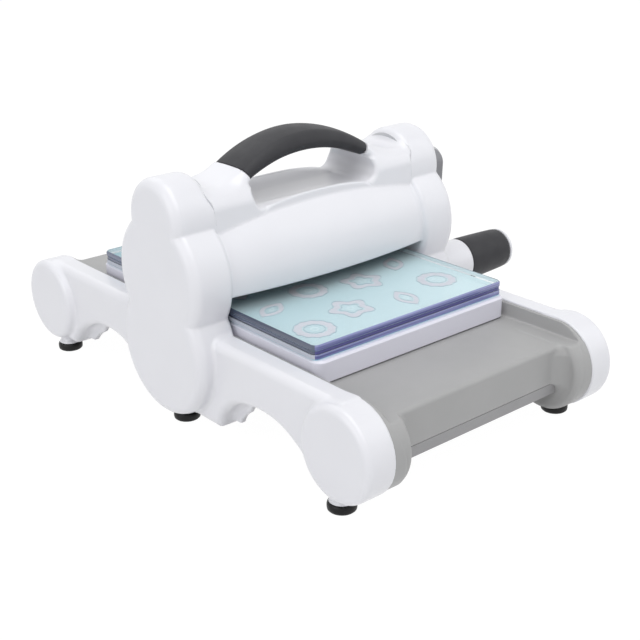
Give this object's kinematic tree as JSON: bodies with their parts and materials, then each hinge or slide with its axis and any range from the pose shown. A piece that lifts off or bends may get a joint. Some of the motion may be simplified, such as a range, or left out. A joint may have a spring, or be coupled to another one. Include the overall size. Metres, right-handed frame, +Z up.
{
  "type": "die cutting machine",
  "caption": "Hand-cranked roller press for die cutting paper: rounded side covers, arched carrying handle, sliding platform with clear pads, side crank.",
  "frame": {"origin": "middle of the whole machine's box, crank included, on the table", "axes": "+Z up, -Y the front where the stack enters, +X towards the crank"},
  "size_m": [0.3138, 0.363, 0.174],
  "materials": {
    "white_plastic": "smooth white moulded plastic with a soft gloss",
    "grey_plastic": "fine satin grey moulded plastic",
    "crank_grey": "satin grey moulded plastic",
    "soft_grip": "soft matt dark grey overmould",
    "black_rubber": "matt black rubber",
    "platform_white": "smooth pale plastic, slightly lilac",
    "clear_pad": "clear polished acrylic with tinted edges",
    "die_sheet": null,
    "steel": "turned and zinc-plated steel",
    "bronze": "plain sintered bronze"
  },
  "bodies": {
    "root": {"deck": "grey_plastic", "base_cover": "grey_plastic", "left_leg_frame": "white_plastic", "right_leg_frame": "white_plastic", "left_side_cover": "white_plastic", "right_side_cover": "white_plastic", "left_bearing_plate": "steel", "right_bearing_plate": "steel", "tie_bars": "steel", "tie_bar_nuts": "steel", "front_housing": "white_plastic", "rear_housing": "white_plastic", "handle_frame": "white_plastic", "handle_grip": "soft_grip", "upper_roller_bushes": "bronze", "lower_roller_bushes": "bronze", "crank_bushes": "bronze", "foot_stems": "white_plastic", "foot_pads": "black_rubber", "foot_screws": "steel", "plate_screws": "steel", "base_screws": "steel", "housing_screws": "steel", "handle_screws": "steel"},
    "upper_roller": {"upper_roller": "steel", "upper_roller_shaft": "steel", "upper_roller_gear": "steel", "upper_roller_clips": "steel"},
    "lower_roller": {"lower_roller": "steel", "lower_roller_shaft": "steel", "lower_roller_gear": "steel", "lower_roller_clips": "steel"},
    "crank": {"crank_shaft": "steel", "crank_pinion": "steel", "crank_arm": "crank_grey", "crank_shaft_nut": "steel", "grip_pin": "steel", "grip_pin_washer": "steel"},
    "crank_grip": {"grip_neck": "white_plastic", "grip_sleeve": "soft_grip", "grip_end_cap": "white_plastic"},
    "stack": {"platform": "platform_white", "lower_cutting_pad": "clear_pad", "cutting_die": "die_sheet", "upper_cutting_pad": "clear_pad"}
  },
  "joints": [
    {"name": "crank_turn", "type": "hinge", "parent": "root", "child": "crank", "pos_m": [0, 0, 0.13064], "axis": [1, 0, 0], "range_deg": [-1440, 1440]},
    {"name": "upper_roller_turn", "type": "hinge", "parent": "root", "child": "upper_roller", "pos_m": [0, 0, 0.097], "axis": [1, 0, 0], "range_deg": [-312, 312]},
    {"name": "lower_roller_turn", "type": "hinge", "parent": "root", "child": "lower_roller", "pos_m": [0, 0, 0.0416], "axis": [1, 0, 0], "range_deg": [-312, 312]},
    {"name": "stack_slide", "type": "slide", "parent": "root", "child": "stack", "axis": [0, 1, 0], "range_m": [-0.087, 0.087]},
    {"name": "grip_spin", "type": "hinge", "parent": "crank", "child": "crank_grip", "pos_m": [0.1, 0.00329, 0.045], "axis": [1, 0, 0], "continuous": true}
  ],
  "couplings": [
    {"joint": "upper_roller_turn", "follows": "crank_turn", "ratio": -0.21429},
    {"joint": "lower_roller_turn", "follows": "crank_turn", "ratio": 0.21429},
    {"joint": "stack_slide", "follows": "crank_turn", "m_per_rad": -0.0034286}
  ]
}
